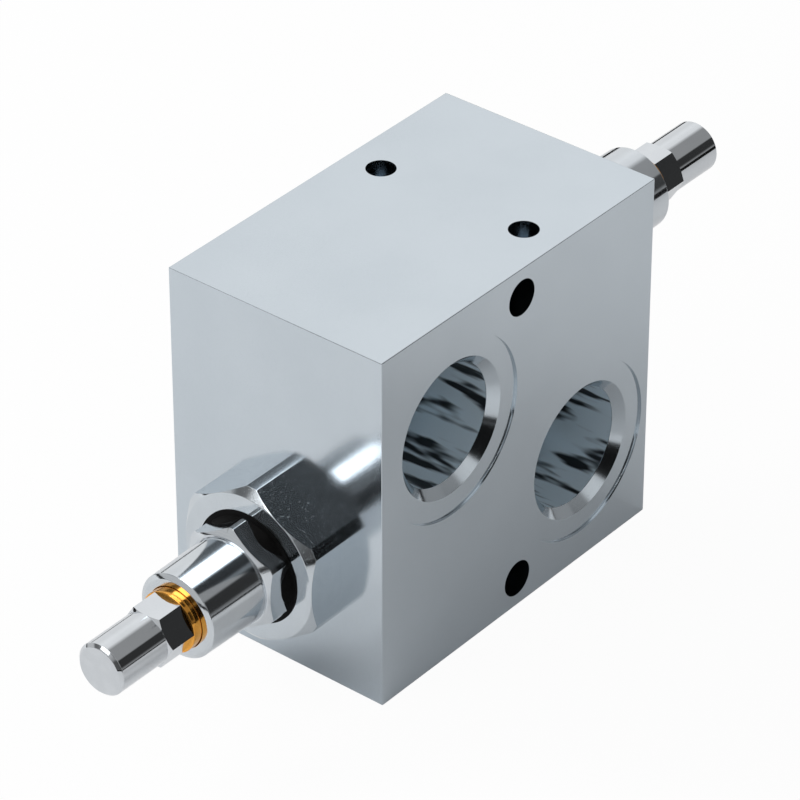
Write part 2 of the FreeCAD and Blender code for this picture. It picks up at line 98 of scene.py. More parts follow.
class Slot(Enum):
    """Material slots of the part's record."""

    BLOCK = "block"
    PLUG = "plug"
    CARTRIDGE = "cartridge"
    NUT = "nut"
    SCREW = "screw"
    HARD_STEEL = "hardened_steel"
    SPRING_STEEL = "spring_steel"
    RUBBER = "black_rubber"
    ORANGE = "orange_polymer"
    WHITE = "white_polymer"


# Shader maths


def rgba(colour: Colour) -> tuple[float, float, float, float]:
    """Return a colour with full alpha."""
    return (*colour, 1.0)


def fill_ramp(ramp: bpy.types.ColorRamp, stops: Outline) -> None:
    """Set the stops of a ramp.

    Args:
        ramp: The ramp of a new node.
        stops: (degrees, level) corners from -180 to 180 degrees.
    """
    points = ramp.elements
    while len(points) < len(stops):
        points.new(0.5)
    for point, (degrees, level) in zip(points, stops):
        point.position = degrees / 360.0 + 0.5
        point.color = (level, level, level, 1.0)


class Value:
    """A shader socket that takes part in ordinary Python arithmetic."""

    def __init__(self, graph: "Graph", socket: bpy.types.NodeSocket) -> None:
        """Keep the socket and the graph it belongs to."""
        self.graph = graph
        self.socket = socket

    def __add__(self, other: Any) -> "Value":
        """Return self + other."""
        return self.graph.math("ADD", self, other)

    __radd__ = __add__

    def __mul__(self, other: Any) -> "Value":
        """Return self * other."""
        return self.graph.math("MULTIPLY", self, other)

    __rmul__ = __mul__

    def __sub__(self, other: Any) -> "Value":
        """Return self - other."""
        return self.graph.math("SUBTRACT", self, other)

    def __rsub__(self, other: Any) -> "Value":
        """Return other - self."""
        return self.graph.math("SUBTRACT", other, self)

    def __truediv__(self, other: Any) -> "Value":
        """Return self / other."""
        return self.graph.math("DIVIDE", self, other)

    def __pow__(self, other: Any) -> "Value":
        """Return self to the power other."""
        return self.graph.math("POWER", self, other)

    def clamped(self, low: float = 0.0, high: float = 1.0) -> "Value":
        """Return self held between two limits."""
        return self.graph.math("MINIMUM", self.graph.math("MAXIMUM", self, low), high)

    def step(self, low: float, high: float) -> "Value":
        """Return a smooth step from 0 at low to 1 at high; low may be above high."""
        share = ((self - low) / (high - low)).clamped()
        return share * share * (3.0 - 2.0 * share)


class Graph:
    """Builds the nodes of one material or world."""

    def __init__(self, tree: bpy.types.NodeTree) -> None:
        """Take over a node tree and empty it."""
        self.tree = tree
        tree.nodes.clear()

    def node(
        self,
        kind: str,
        settings: dict[str, Any] | None = None,
        inputs: dict[Any, Any] | None = None,
    ) -> bpy.types.Node:
        """Add a node.

        Args:
            kind: The node's type name.
            settings: Attributes to set on the node, or the stops of its ramp.
            inputs: Input name or number to a plain value or a Value to link.

        Returns:
            The new node.
        """
        made = self.tree.nodes.new(kind)
        for name, value in (settings or {}).items():
            if name == "stops":
                fill_ramp(made.color_ramp, value)
            else:
                setattr(made, name, value)
        for key, value in (inputs or {}).items():
            if isinstance(value, Value):
                self.tree.links.new(value.socket, made.inputs[key])
            else:
                made.inputs[key].default_value = value
        return made

    def out(self, node: bpy.types.Node, key: Any = 0) -> Value:
        """Return one of a node's outputs as a Value."""
        return Value(self, node.outputs[key])

    def math(self, operation: str, *values: Any) -> Value:
        """Return the result of a Math node on the given values."""
        inputs = dict(enumerate(values))
        return self.out(self.node("ShaderNodeMath", {"operation": operation}, inputs))

    def mix(self, share: Any, low: Any, high: Any) -> Value:
        """Return the colour that lies a share of the way from low to high."""
        node = self.node("ShaderNodeMix", {"data_type": "RGBA"}, {0: share, 6: low, 7: high})
        return self.out(node, 2)

    def ramp(self, share: Value, stops: Outline) -> Value:
        """Return the level at a share of the turn from -180 to 180 degrees."""
        return self.out(self.node("ShaderNodeValToRGB", {"stops": stops}, {0: share}), "Color")

    def place(self) -> Value:
        """Return the shaded point's Object coordinates."""
        return self.out(self.node("ShaderNodeTexCoord"), "Object")

    def noise(
        self, size: float, detail: float = 2.0, roughness: float = 0.5, along_y: float = 1.0
    ) -> Value:
        """Return noise from 0 to 1.

        Args:
            size: About how many metres across its features are.
            detail: Octaves of detail.
            roughness: How much each octave adds.
            along_y: How many times longer the features are along Y.

        Returns:
            The noise.
        """
        stretch = {0: self.place(), 1: (1.0, 1.0 / along_y, 1.0)}
        where = self.out(self.node("ShaderNodeVectorMath", {"operation": "MULTIPLY"}, stretch))
        inputs = {"Vector": where, "Scale": 1.0 / size, "Detail": detail, "Roughness": roughness}
        return self.out(self.node("ShaderNodeTexNoise", None, inputs), "Fac")

    def rays(self) -> tuple[Value, Value]:
        """Tell the camera's rays from those that mirrors and glass send on.

        Returns:
            1 for a camera ray, and 1 for a glossy or transmission ray.
        """
        ray = self.node("ShaderNodeLightPath")
        seen = self.out(ray, "Is Camera Ray")
        sent_on = self.out(ray, "Is Glossy Ray") + self.out(ray, "Is Transmission Ray")
        return seen, sent_on.clamped() * (1.0 - seen)

    def blend(self, share: Value, first: Value, second: Value) -> Value:
        """Return a shader a share of the way from the first to the second."""
        return self.out(self.node("ShaderNodeMixShader", None, {0: share, 1: first, 2: second}))

    def bump(self, height: Value, depth: float) -> Value:
        """Return the normal of a surface with the given height map of the given depth."""
        inputs = {"Height": height, "Strength": 1.0, "Distance": depth}
        return self.out(self.node("ShaderNodeBump", None, inputs), "Normal")


# Noise detail and roughness of the broad mottling and of the fine grain
MOTTLE_DETAIL = (3.0, 0.55)
GRAIN_DETAIL = (3.0, 0.6)
# How much of the colour's mottling is broad, and where one colour gives way to the other
BROAD_SHARE = 0.65
MOTTLE_EDGE = (0.3, 0.7)
# Size of a speck as a share of the grain's, and the noise level past which one stands
SPECK_SIZE = 0.9
SPECK_EDGE = (0.7, 0.76)
ROUGHNESS_LIMITS = (0.02, 1.0)


@dataclass
class Surface:
    """What a finish feeds to its shader.

    Args:
        colour: Base colour.
        metallic: 1 for bare metal.
        roughness: How rough the surface is.
        height: Height map of the fine grain.
    """

    colour: Value
    metallic: Value | float
    roughness: Value
    height: Value


@dataclass(frozen=True)
class Finish:
    """A surface finish built on the Principled shader.

    Args:
        name: The material's name.
        colour: Main linear colour.
        second: Colour the mottling mixes towards.
        metallic: 1 for bare metal.
        roughness: Mean roughness.
        spread: How far roughness varies up and down.
        mottle: Size of the broad mottling in metres.
        grain: Size of the fine grain in metres.
        depth: Depth of the grain in metres.
        specks: How much rougher the scattered specks are.
        shine: Specular level of what isn't metal.
    """

    name: str
    colour: Colour
    second: Colour
    metallic: float = 1.0
    roughness: float = 0.3
    spread: float = 0.05
    mottle: float = 0.02
    grain: float = 0.0004
    depth: float = 0.000002
    specks: float = 0.0
    shine: float = 0.5

    def grain_height(self, graph: Graph) -> Value:
        """Return the height map of the fine grain."""
        return graph.noise(self.grain, *GRAIN_DETAIL)

    def surface(self, graph: Graph) -> Surface:
        """Work out how the finish varies from place to place.

        Args:
            graph: The material's nodes.

        Returns:
            The surface.
        """
        broad = graph.noise(self.mottle, *MOTTLE_DETAIL)
        fine = self.grain_height(graph)
        share = (BROAD_SHARE * broad + (1.0 - BROAD_SHARE) * fine).step(*MOTTLE_EDGE)
        specks = self.specks * graph.noise(SPECK_SIZE * self.grain, 0.0).step(*SPECK_EDGE)
        return Surface(
            colour=graph.mix(share, rgba(self.colour), rgba(self.second)),
            metallic=self.metallic,
            roughness=self.roughness + self.spread * (broad + fine - 1.0) + specks,
            height=fine,
        )

    def build(self) -> bpy.types.Material:
        """Build the material.

        Returns:
            The finished material.
        """
        material = bpy.data.materials.new(self.name)
        material.use_nodes = True
        graph = Graph(material.node_tree)
        surface = self.surface(graph)
        shader = graph.node(
            "ShaderNodeBsdfPrincipled",
            None,
            {
                "Base Color": surface.colour,
                "Metallic": surface.metallic,
                "Roughness": surface.roughness.clamped(*ROUGHNESS_LIMITS),
                "Specular IOR Level": self.shine,
                "Normal": graph.bump(surface.height, self.depth),
            },
        )
        graph.node("ShaderNodeOutputMaterial", None, {"Surface": graph.out(shader, "BSDF")})
        return material


@dataclass(frozen=True)
class TurnedFinish(Finish):
    """Bright metal with the faint rings that a lathe leaves round the cartridge axis.

    Args:
        ring_pitch: Distance from ring to ring in metres.
        ring_share: How much of the grain's height the rings take.
        wander: How far the rings wander, in pitches.
        wander_size: Size of that wandering in metres.
    """

    ring_pitch: float = 0.00025
    ring_share: float = 0.5
    wander: float = 2.0
    wander_size: float = 0.004

    def grain_height(self, graph: Graph) -> Value:
        """Return grain mixed with fine rings across the X axis.

        Args:
            graph: The material's nodes.

        Returns:
            The height map.
        """
        x = graph.out(graph.node("ShaderNodeSeparateXYZ", None, {0: graph.place()}), "X")
        wander = graph.noise(self.wander_size, 1.0) * (self.ring_pitch * self.wander)
        rings = graph.math("SINE", (x + wander) * (2.0 * math.pi / self.ring_pitch))
        grain = graph.noise(self.grain, *GRAIN_DETAIL)
        return grain * (1.0 - self.ring_share) + (rings * 0.5 + 0.5) * self.ring_share


@dataclass(frozen=True)
class BoredFinishWithPaintedLight(Finish):
    """A finish with painted light and painted dark reflection streaks on the walls of the two
    ported lines, which are also duller there.

    Args:
        line: How far the lines run from the middle, across and up, in metres.
        bore: Radius in metres within which a surface belongs to a line.
        bore_edge: How much further out, as a share, that stops.
        reach: How far from the middle the walls reach along Y, in metres.
        reach_edge: How much further, in metres, that stops.
        painted_wall_light: Paler, bluer colour painted on the walls as painted light from inside
            the bores.
        shade: Colour of the painted dark reflections that streak the walls.
        painted_reflection_size: Width of a painted reflection streak in metres.
        painted_reflection_length: How many times longer than wide such a painted streak is.
        painted_reflection_edge: Where the painted wall light gives way to the painted dark
            reflection.
        rougher: How much rougher the walls are.
        duller: How much of the metal's shine the walls lose.
    """

    line: tuple[float, float] = (LINE_PLACE[0] * MM, LINE_PLACE[1] * MM)
    bore: float = 0.0141
    bore_edge: float = 0.05
    reach: float = 0.0253
    reach_edge: float = 0.0001
    # Painted light: the walls are painted paler and bluer than the block, and streaked with
    # painted dark reflections.
    painted_wall_light: Colour = (0.8, 0.92, 1.0)
    shade: Colour = (0.012, 0.016, 0.02)
    painted_reflection_size: float = 0.003
    painted_reflection_length: float = 6.0
    painted_reflection_edge: tuple[float, float] = (0.48, 0.61)
    rougher: float = 0.25
    duller: float = 0.6

    def walls(self, graph: Graph) -> Value:
        """Find the walls of the lines, which run along Y.

        Args:
            graph: The material's nodes.

        Returns:
            1 on the walls and 0 elsewhere.
        """
        parts = graph.node("ShaderNodeSeparateXYZ", None, {0: graph.place()})
        x, y, z = (graph.out(parts, axis) for axis in "XYZ")
        line_x, line_z = self.line
        left = (x + line_x) ** 2 + (z - line_z) ** 2
        right = (x - line_x) ** 2 + (z + line_z) ** 2
        edge = self.bore * (1.0 + self.bore_edge)
        near = 1.0 - graph.math("MINIMUM", left, right).step(self.bore**2, edge**2)
        end = graph.math("ABSOLUTE", y).step(self.reach, self.reach + self.reach_edge)
        return near * (1.0 - end)

    def surface(self, graph: Graph) -> Surface:
        """Work out the surface, with the painted light and painted dark reflections of the lines'
        walls on top.

        Args:
            graph: The material's nodes.

        Returns:
            The surface.
        """
        plain = super().surface(graph)
        walls = self.walls(graph)
        # Painted light on the walls: a paler, bluer colour streaked with painted dark reflections.
        noise = graph.noise(self.painted_reflection_size, along_y=self.painted_reflection_length)
        painted_bore_light = graph.mix(noise.step(*self.painted_reflection_edge), rgba(self.painted_wall_light), rgba(self.shade))
        return Surface(
            colour=graph.mix(walls, plain.colour, painted_bore_light),
            metallic=plain.metallic * (1.0 - self.duller * walls),
            roughness=plain.roughness + self.rougher * walls,
            height=plain.height,
        )


FINISHES = {
    # The block: satin zinc, with painted light and painted dark reflections on the walls of its
    # ported lines.
    Slot.BLOCK: BoredFinishWithPaintedLight(
        "Satin zinc with painted bore light", (0.62, 0.68, 0.73), (0.58, 0.64, 0.69), roughness=0.13, spread=0.03,
        mottle=0.03, depth=0.0000035, specks=0.08,
    ),
    Slot.PLUG: Finish(
        "Blackened steel", (0.035, 0.036, 0.04), (0.06, 0.06, 0.065), metallic=0.7,
        roughness=0.38, mottle=0.006,
    ),
    Slot.CARTRIDGE: Finish(
        "Bright zinc", (0.66, 0.71, 0.75), (0.60, 0.65, 0.69), roughness=0.1, spread=0.04,
        mottle=0.01, depth=0.0000015, specks=0.16,
    ),
    Slot.NUT: TurnedFinish(
        "Bright zinc nut", (0.69, 0.73, 0.76), (0.64, 0.68, 0.72), roughness=0.1, spread=0.03,
        mottle=0.008, grain=0.0006, depth=0.000001,
    ),
    Slot.SCREW: TurnedFinish(
        "Bright zinc screw", (0.71, 0.74, 0.77), (0.66, 0.69, 0.72), roughness=0.06, spread=0.03,
        mottle=0.006, grain=0.0005, depth=0.0000015,
    ),
    Slot.HARD_STEEL: TurnedFinish(
        "Ground steel", (0.40, 0.40, 0.42), (0.30, 0.30, 0.32), roughness=0.22, mottle=0.006,
    ),
    Slot.SPRING_STEEL: Finish(
        "Oiled spring steel", (0.14, 0.14, 0.16), (0.22, 0.20, 0.19), roughness=0.3,
        mottle=0.003, grain=0.0003,
    ),
    Slot.RUBBER: Finish(
        "Black rubber", (0.002, 0.002, 0.002), (0.006, 0.006, 0.006), metallic=0.0,
        roughness=0.55, spread=0.12, mottle=0.003, grain=0.0003, depth=0.000008, shine=0.06,
    ),
    Slot.ORANGE: Finish(
        "Orange polymer", (0.95, 0.46, 0.09), (0.85, 0.37, 0.06), roughness=0.12,
        spread=0.04, mottle=0.004,
    ),
    Slot.WHITE: Finish(
        "White polymer", (0.78, 0.77, 0.73), (0.70, 0.69, 0.65), metallic=0.0,
        roughness=0.42, mottle=0.004,
    ),
}


class Paints:
    """All finishes of the part, each built once."""

    def __init__(self) -> None:
        """Build every finish."""
        self.made = {slot: finish.build() for slot, finish in FINISHES.items()}

    def of(self, slot: Slot) -> bpy.types.Material:
        """Return the material of a record slot."""
        return self.made[slot]


# Mesh building


# Most of a side that a rounding takes, as a share
EASE_SHARE = 0.4
# Below this a length in millimetres, or a cosine, counts as nothing
NOTHING = 1e-5


def eased(points: Outline, radius: float, steps: int = 3) -> list[tuple[float, float]]:
    """Return an open outline with its inner corners rounded.

    Args:
        points: The outline's corners.
        radius: Largest distance a rounding takes from each side of a corner.
        steps: Segments per rounding.

    Returns:
        The new outline.
    """
    smooth = [tuple(points[0])]
    for before, corner, after in zip(points, points[1:], points[2:]):
        here = Vector(corner)
        back = Vector(before) - here
        ahead = Vector(after) - here
        reach = min(radius, EASE_SHARE * back.length, EASE_SHARE * ahead.length)
        straight = abs(back.normalized().dot(ahead.normalized()) + 1.0) < NOTHING
        if reach < NOTHING or straight:
            smooth.append(tuple(corner))
            continue
        start = here + back.normalized() * reach
        end = here + ahead.normalized() * reach
        for index in range(steps + 1):
            share = index / steps
            point = start * (1 - share) ** 2 + here * (2 * share * (1 - share)) + end * share**2
            smooth.append(tuple(point))
    smooth.append(tuple(points[-1]))
    return smooth


def finished(shape: bmesh.types.BMesh, name: str) -> bpy.types.Mesh:
    """Turn a shape into a mesh and free it.

    Args:
        shape: The shape.
        name: The mesh's name.

    Returns:
        The mesh.
    """
    mesh = bpy.data.meshes.new(name)
    shape.to_mesh(mesh)
    shape.free()
    return mesh


def circle(
    shape: bmesh.types.BMesh, count: int, radius: float, height: float, turn: float = 0.0
) -> list[bmesh.types.BMVert]:
    """Add points on a circle about the Z axis.

    Args:
        shape: The shape to add to.
        count: Number of points.
        radius: The circle's radius in millimetres.
        height: The circle's height in millimetres.
        turn: Angle of the first point in degrees.

    Returns:
        The points in order.
    """
    points = []
    for index in range(count):
        angle = math.radians(turn) + 2 * math.pi * index / count
        x, y = radius * math.cos(angle) * MM, radius * math.sin(angle) * MM
        points.append(shape.verts.new((x, y, height * MM)))
    return points


def lathe(points: Outline, closed: bool = False, segments: int = 144) -> bpy.types.Mesh:
    """Return the mesh of an outline turned about the local Z axis.

    Args:
        points: (height, radius) corners in millimetres.
        closed: Whether the outline joins up with itself, as a ring's does.
        segments: Steps round the axis.

    Returns:
        A closed mesh in metres.
    """
    shape = bmesh.new()
    rings = []
    for height, radius in points:
        if radius < NOTHING:
            rings.append([shape.verts.new((0, 0, height * MM))])
            continue
        rings.append(circle(shape, segments, radius, height))
    pairs = list(zip(rings, rings[1:]))
    if closed:
        pairs.append((rings[-1], rings[0]))
    for low, high in pairs:
        for index in range(segments):
            following = (index + 1) % segments
            corners = [low[index % len(low)], low[following % len(low)]]
            corners += [high[following % len(high)], high[index % len(high)]]
            unique = list(dict.fromkeys(corners))
            if len(unique) > 2:
                shape.faces.new(unique)
    bmesh.ops.recalc_face_normals(shape, faces=shape.faces)
    return finished(shape, "turned")


def prism(sides: int, across: float, low: float, high: float, turn: float = 0.0) -> bpy.types.Mesh:
    """Return a straight prism along Z.

    Args:
        sides: Number of flats.
        across: Distance across flats in millimetres.
        low: Lower end in millimetres.
        high: Upper end in millimetres.
        turn: Angle of the first corner in degrees.

    Returns:
        A closed mesh in metres.
    """
    shape = bmesh.new()
    corner = across / 2 / math.cos(math.pi / sides)
    foot = circle(shape, sides, corner, low, turn)
    head = circle(shape, sides, corner, high, turn)
    shape.faces.new(foot)
    shape.faces.new(head)
    for index in range(sides):
        following = (index + 1) % sides
        shape.faces.new((foot[index], foot[following], head[following], head[index]))
    bmesh.ops.recalc_face_normals(shape, faces=shape.faces)
    return finished(shape, "prism")


def with_modifiers(
    mesh: bpy.types.Mesh, add: Callable[[bpy.types.Object], list[bpy.types.Object] | None]
) -> bpy.types.Mesh:
    """Return a mesh after modifiers.

    Args:
        mesh: The mesh to start from.
        add: Called with a temporary object to add the modifiers to. Returns the objects
            that the modifiers need, if any.

    Returns:
        The evaluated mesh, free of modifiers.
    """
    holder = bpy.data.objects.new("holder", mesh)
    bpy.context.scene.collection.objects.link(holder)
    extra = add(holder) or []
    graph = bpy.context.evaluated_depsgraph_get()
    made = bpy.data.meshes.new_from_object(holder.evaluated_get(graph))
    for item in (holder, *extra):
        bpy.data.objects.remove(item)
    return made


def combined(mesh: bpy.types.Mesh, others: Iterable[bpy.types.Mesh], how: str) -> bpy.types.Mesh:
    """Return a mesh after Boolean steps with others.

    Args:
        mesh: The mesh to start from.
        others: The meshes to combine it with, in order.
        how: The Boolean operation.

    Returns:
        The combined mesh.
    """

    def add(holder: bpy.types.Object) -> list[bpy.types.Object]:
        """Add one Boolean modifier per other mesh.

        Args:
            holder: The object to add them to.

        Returns:
            The objects that hold the other meshes.
        """
        tools = []
        for other in others:
            tool = bpy.data.objects.new("tool", other)
            bpy.context.scene.collection.objects.link(tool)
            step = holder.modifiers.new("step", "BOOLEAN")
            step.operation = how
            step.solver = "EXACT"
            step.object = tool
            tools.append(tool)
        return tools

    return with_modifiers(mesh, add)


def softened(mesh: bpy.types.Mesh, width: float, angle: float = 24.0) -> bpy.types.Mesh:
    """Return a mesh with its sharp edges rounded.

    Args:
        mesh: The mesh to start from.
        width: Width of the rounding in millimetres.
        angle: Angle in degrees past which an edge is sharp.

    Returns:
        The rounded mesh.
    """

    def add(holder: bpy.types.Object) -> None:
        """Add the edge rounding.

        Args:
            holder: The object to add it to.
        """
        step = holder.modifiers.new("edges", "BEVEL")
        step.width = width * MM
        step.segments = 2
        step.limit_method = "ANGLE"
        step.angle_limit = math.radians(angle)
        step.miter_outer = "MITER_ARC"
        step.use_clamp_overlap = True

    return with_modifiers(mesh, add)


# How strongly a face's area counts in the normals at its corners, from 1 to 100
AREA_WEIGHT = 70


def shaded(mesh: bpy.types.Mesh, angle: float = 28.0) -> bpy.types.Mesh:
    """Return a mesh shaded smooth with normals weighted by face area.

    Args:
        mesh: The mesh to start from.
        angle: Angle in degrees past which an edge stays sharp.

    Returns:
        The shaded mesh.
    """
    shape = bmesh.new()
    shape.from_mesh(mesh)
    limit = math.radians(angle)
    for face in shape.faces:
        face.smooth = True
    for edge in shape.edges:
        edge.smooth = len(edge.link_faces) == 2 and edge.calc_face_angle(0.0) < limit
    shape.to_mesh(mesh)
    shape.free()

    def add(holder: bpy.types.Object) -> None:
        """Add the weighting.

        Args:
            holder: The object to add it to.
        """
        step = holder.modifiers.new("normals", "WEIGHTED_NORMAL")
        step.keep_sharp = True
        step.weight = AREA_WEIGHT

    return with_modifiers(mesh, add)


def merged(meshes: Sequence[bpy.types.Mesh]) -> bpy.types.Mesh:
    """Return one mesh holding several shells.

    Args:
        meshes: The shells.

    Returns:
        The whole mesh.
    """
    shape = bmesh.new()
    for mesh in meshes:
        shape.from_mesh(mesh)
    return finished(shape, "merged")


class CoilMaker:
    """A Geometry Nodes group that sweeps a section along a helix about Z."""

    def __init__(self) -> None:
        """Build the node group with its named inputs."""
        group = bpy.data.node_groups.new("Coil", "GeometryNodeTree")
        self.group = group
        sockets = (
            ("Radius", "NodeSocketFloat", 0.01),
            ("Height", "NodeSocketFloat", 0.01),
            ("Turns", "NodeSocketFloat", 4.0),
            ("Steps per turn", "NodeSocketInt", 48),
            ("Section sides", "NodeSocketInt", 12),
            ("Section radius", "NodeSocketFloat", 0.001),
            ("Material", "NodeSocketMaterial", None),
        )
        for name, kind, default in sockets:
            made = group.interface.new_socket(name, in_out="INPUT", socket_type=kind)
            if default is not None:
                made.default_value = default
        group.interface.new_socket("Geometry", in_out="OUTPUT", socket_type="NodeSocketGeometry")
        entry = group.nodes.new("NodeGroupInput").outputs
        spiral = group.nodes.new("GeometryNodeCurveSpiral")
        normals = group.nodes.new("GeometryNodeSetCurveNormal")
        normals.mode = "Z_UP"
        section = group.nodes.new("GeometryNodeCurvePrimitiveCircle")
        sweep = group.nodes.new("GeometryNodeCurveToMesh")
        sweep.inputs["Fill Caps"].default_value = True
        realize = group.nodes.new("GeometryNodeRealizeInstances")
        paint = group.nodes.new("GeometryNodeSetMaterial")
        leave = group.nodes.new("NodeGroupOutput")
        link = group.links.new
        link(entry["Steps per turn"], spiral.inputs["Resolution"])
        link(entry["Turns"], spiral.inputs["Rotations"])
        link(entry["Radius"], spiral.inputs["Start Radius"])
        link(entry["Radius"], spiral.inputs["End Radius"])
        link(entry["Height"], spiral.inputs["Height"])
        link(entry["Section sides"], section.inputs["Resolution"])
        link(entry["Section radius"], section.inputs["Radius"])
        link(spiral.outputs["Curve"], normals.inputs["Curve"])
        link(normals.outputs["Curve"], sweep.inputs["Curve"])
        link(section.outputs["Curve"], sweep.inputs["Profile Curve"])
        link(sweep.outputs["Mesh"], realize.inputs["Geometry"])
        link(realize.outputs["Geometry"], paint.inputs["Geometry"])
        link(entry["Material"], paint.inputs["Material"])
        link(paint.outputs["Geometry"], leave.inputs["Geometry"])

    def make(self, material: bpy.types.Material, **inputs: float) -> bpy.types.Mesh:
        """Return the mesh of one coil.

        Args:
            material: The coil's material.
            **inputs: Group inputs by name, with underscores for spaces.

        Returns:
            The swept mesh.
        """

        wanted = {name.replace("_", " "): value for name, value in inputs.items()}
        wanted["Material"] = material

        def add(holder: bpy.types.Object) -> None:
            """Add the group with its inputs set.

            Args:
                holder: The object to add it to.
            """
            step = holder.modifiers.new("coil", "NODES")
            step.node_group = self.group
            for item in self.group.interface.items_tree:
                if item.in_out == "INPUT" and item.name in wanted:
                    step[item.identifier] = wanted[item.name]

        return with_modifiers(bpy.data.meshes.new("seed"), add)


@dataclass
class Piece:
    """One finished visual piece.

    Args:
        name: The piece's name.
        mesh: Its mesh in the part's frame.
        body: The moving body it rides on.
        node: The solid it stands for.
        slot: The record slot of its finish.
        give: For a stretch of spring, the joint that would shorten it, the point that would stay
            and the share of its length that would be left; here it only gives the piece a mesh of
            its own.
    """

    name: str
    mesh: bpy.types.Mesh
    body: str
    node: str
    slot: Slot
    give: tuple[str, Vector, float] | None = None

    def place(self, paints: Paints) -> bpy.types.Object:
        """Put the piece in the scene.

        Args:
            paints: The part's finishes.

        Returns:
            The piece's object.
        """
        self.mesh.materials.clear()
        self.mesh.materials.append(paints.of(self.slot))
        self.mesh.name = self.name
        made = bpy.data.objects.new(self.name, self.mesh)
        bpy.context.scene.collection.objects.link(made)
        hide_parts(self.node)
        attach(made, self.body)
        if self.give:
            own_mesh(made)
        return made


# The block


@dataclass
class BlockLooks:
    """The valve block and its two plugs, sizes in millimetres.

    Args:
        size: The block's length, depth and height.
        edge: Width of the block's eased edges.
        sharp: Angle in degrees past which an edge of the block stays sharp.
        line: How far the two lines run from the middle, across and up.
        through_hole: Radius of the mounting holes, and how far above and below the
            middle they run.
        top_hole: Radius of the holes in the top, and their place across and back.
        top_depth: Depth of the holes in the top.
        tip: Height of the cone that a drill leaves, as a share of its radius.
        drilling: Radius of the cross drillings.
        thread: Radius and depth of the wider foot of a cross drilling, for its plug.
        thread_mouth: Width of the chamfer at that foot.
        port: Outline of a line from its front port to the narrow middle.
        port_ease: Size of the roundings at the port's corners.
        cavity: Outline of the cavity that a cartridge screws into.
        cavity_ease: Size of the roundings at its corners.
        plug: Outline of a plug, along Z.
        plug_ease: Size of the roundings at its corners.
        socket: Distance across flats and depth of a plug's socket.
        socket_mouth: Depth of the socket's chamfer, and how far past the flats it starts.
    """

    size: tuple[float, float, float] = (90.0, 56.0, 85.0)
    edge: float = 0.15
    sharp: float = 20.0
    line: tuple[float, float] = LINE_PLACE
    through_hole: tuple[float, float] = (4.2, 35.5)
    top_hole: tuple[float, float, float] = (3.3, 12.0, 19.0)
    top_depth: float = 15.0
    tip: float = 0.6
    drilling: float = 5.0
    thread: tuple[float, float] = (6.63, 9.6)
    thread_mouth: float = 0.1
    port: Outline = (
        (-29.0, 0.0),
        (-29.0, 20.95),
        (-27.5, 20.95),
        (-27.5, 15.95),
        (-25.45, 13.9),
        (-9.0, 13.9),
        (-8.5, 13.22),
        (-6.27, 9.5),
    )
    port_ease: float = 0.05
    cavity: Outline = (
        (1.0, 0.0),
        (1.0, 14.8),
        (0.0, 14.8),
        (-2.3, 13.5),
        (-17.0, 13.5),
        (-17.0, 12.3),
        (-31.0, 12.3),
        (-32.8, 10.5),
        (-44.0, 10.5),
        (-44.0, 6.0),
        (-67.0, 6.0),
        (-67.0, 0.0),
    )
    cavity_ease: float = 0.1
    plug: Outline = (
        (-41.9, 0.0),
        (-41.9, 5.98),
        (-41.3, 6.58),
        (-33.5, 6.58),
        (-32.9, 5.98),
        (-32.9, 0.0),
    )
    plug_ease: float = 0.15
    socket: tuple[float, float] = (6.0, 5.0)
    socket_mouth: tuple[float, float] = (0.5, 0.1)

    def line_cutter(self, way: int) -> bpy.types.Mesh:
        """Make the cutter of a line with its two ports.

        Args:
            way: -1 for the left line and 1 for the right one.

        Returns:
            The cutter in its place.
        """
        back = [(-height, radius) for height, radius in reversed(self.port)]
        outline = eased([*self.port, *back], self.port_ease, steps=2)
        tool = lathe(outline, segments=MANY_STEPS)
        x, z = self.line
        tool.transform(Matrix.Translation((way * x * MM, 0, -way * z * MM)) @ ALONG_Y)
        return tool

    def through_cutter(self, way: int) -> bpy.types.Mesh:
        """Make the cutter of a mounting hole.

        Args:
            way: -1 for the lower hole and 1 for the upper one.

        Returns:
            The cutter in its place.
        """
        radius, height = self.through_hole
        reach = self.size[1] / 2 + CUT_PAST
        outline = ((-reach, 0), (-reach, radius), (reach, radius), (reach, 0))
        tool = lathe(outline, segments=FEW_STEPS)
        tool.transform(Matrix.Translation((0, 0, way * height * MM)) @ ALONG_Y)
        return tool

    def top_cutter(self, way: int) -> bpy.types.Mesh:
        """Make the cutter of a hole in the top.

        Args:
            way: -1 for the front hole and 1 for the back one.

        Returns:
            The cutter in its place.
        """
        radius, x, y = self.top_hole
        top = self.size[2] / 2
        low = top - self.top_depth
        outline = (
            (top + CUT_PAST, 0),
            (top + CUT_PAST, radius),
            (low, radius),
            (low - radius * self.tip, 0),
        )
        tool = lathe(outline, segments=FEW_STEPS)
        tool.transform(Matrix.Translation((x * MM, way * y * MM, 0)))
        return tool

    def drilling_cutter(self, way: int) -> bpy.types.Mesh:
        """Make the cutter of a cross drilling, from the bottom up to the line's height.

        Args:
            way: -1 for the left drilling and 1 for the right one.

        Returns:
            The cutter in its place.
        """
        bottom = -self.size[2] / 2
        radius, depth = self.thread
        outline = (
            (bottom - CUT_PAST, 0),
            (bottom - CUT_PAST, radius + CUT_PAST + self.thread_mouth),
            (bottom + self.thread_mouth, radius),
            (bottom + depth, radius),
            (bottom + depth, self.drilling),
            (self.line[1], self.drilling),
            (self.line[1], 0),
        )
        tool = lathe(outline, segments=FEW_STEPS)
        tool.transform(Matrix.Translation((way * self.line[0] * MM, 0, 0)))
        return tool

    def cavity_cutter(self, side: Side) -> bpy.types.Mesh:
        """Make the cutter of a cartridge's cavity.

        Args:
            side: The cartridge's side.

        Returns:
            The cutter in its place.
        """
        tool = lathe(eased(self.cavity, self.cavity_ease, steps=2), segments=SOME_STEPS)
        tool.transform(cartridge_place(side))
        return tool

